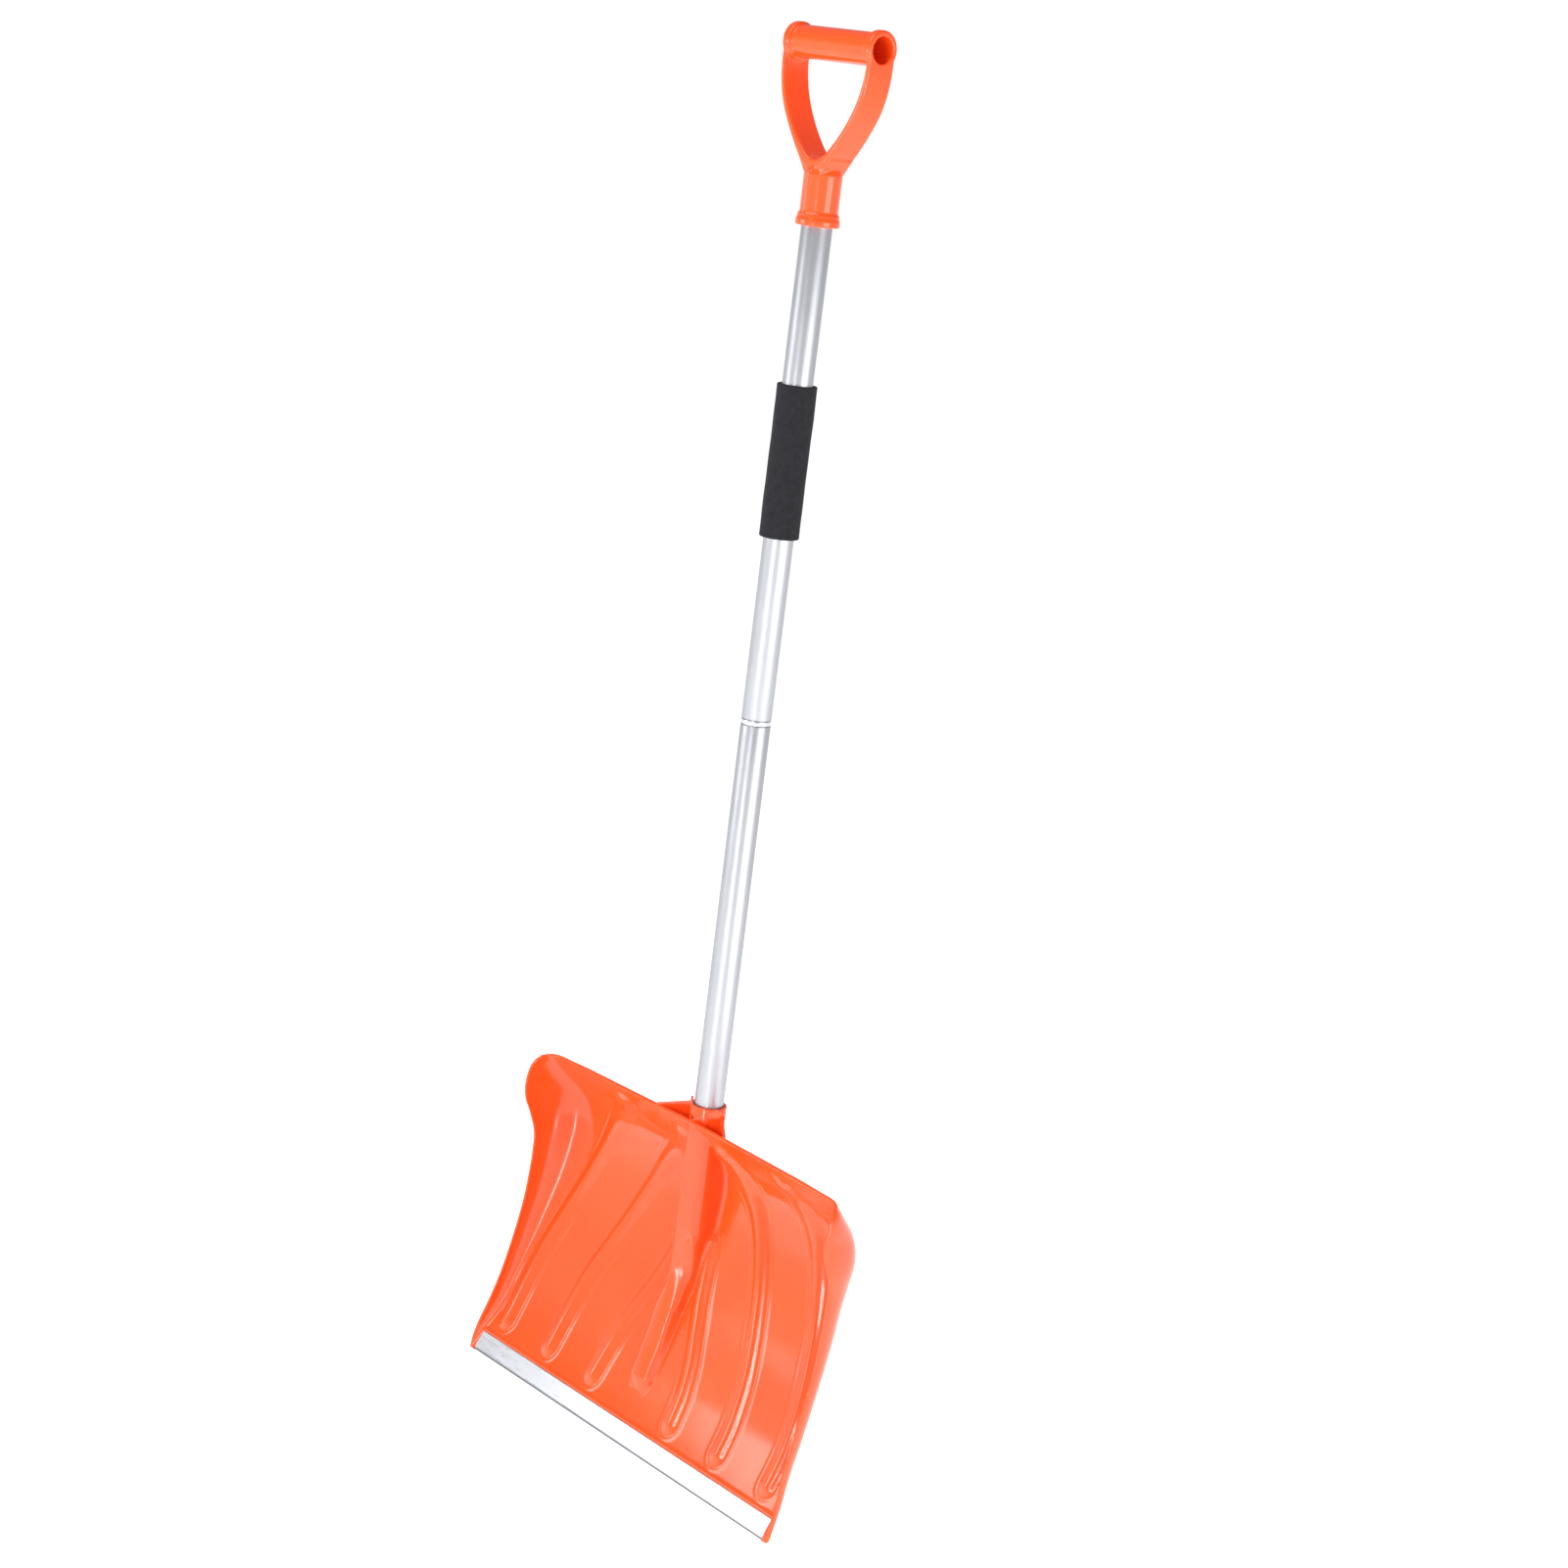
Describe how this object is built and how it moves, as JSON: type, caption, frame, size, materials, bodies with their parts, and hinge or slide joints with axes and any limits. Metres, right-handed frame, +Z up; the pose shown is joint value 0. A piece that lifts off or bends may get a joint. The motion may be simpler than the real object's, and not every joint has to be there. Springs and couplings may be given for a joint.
{
  "type": "snow shovel",
  "caption": "Snow shovel with a wide ribbed plastic scoop, aluminium wear strip, two-section tube shaft with foam sleeve, and a D-shaped hand grip.",
  "frame": {"origin": "middle of the D-grip's bar, on the shaft's axis, where a hand or a hook holds the shovel", "axes": "+Z up along the shaft, away from the scoop; -Y the scoop's open side; +X along the grip bar, to the right of someone looking along +Y"},
  "size_m": [0.4594, 0.0962, 1.3243],
  "materials": {
    "scoop_plastic": "smooth semi-gloss orange injection-moulded plastic",
    "grip_plastic": "smooth semi-gloss orange injection-moulded plastic",
    "tube_aluminium": "satin anodised drawn tube",
    "ring_aluminium": "bright turned",
    "strip_aluminium": "satin rolled sheet",
    "black_plastic": "matte moulded",
    "foam": "closed-cell foam, matte",
    "screw_steel": "zinc plated"
  },
  "bodies": {
    "upper_section": {"upper_tube": "tube_aluminium", "threaded_plug": "black_plastic", "foam_sleeve": "foam", "d_grip": "grip_plastic", "grip_screw": "screw_steel"},
    "coupling_ring": {"joint_ring": "ring_aluminium"},
    "scoop_section": {"lower_tube": "tube_aluminium", "threaded_insert": "black_plastic", "blade": "scoop_plastic", "wear_strip": "strip_aluminium", "socket_screw": "screw_steel"}
  },
  "joints": [
    {"name": "section_unscrew", "type": "hinge", "parent": "upper_section", "child": "coupling_ring", "pos_m": [0, 0, -0.607], "axis": [0, 0, -1], "range_deg": [0, 2160]},
    {"name": "section_part", "type": "slide", "parent": "coupling_ring", "child": "scoop_section", "axis": [0, 0, -1], "range_m": [0, 0.0481]}
  ],
  "couplings": [
    {"joint": "section_part", "follows": "section_unscrew", "m_per_rad": 0.0012732}
  ]
}
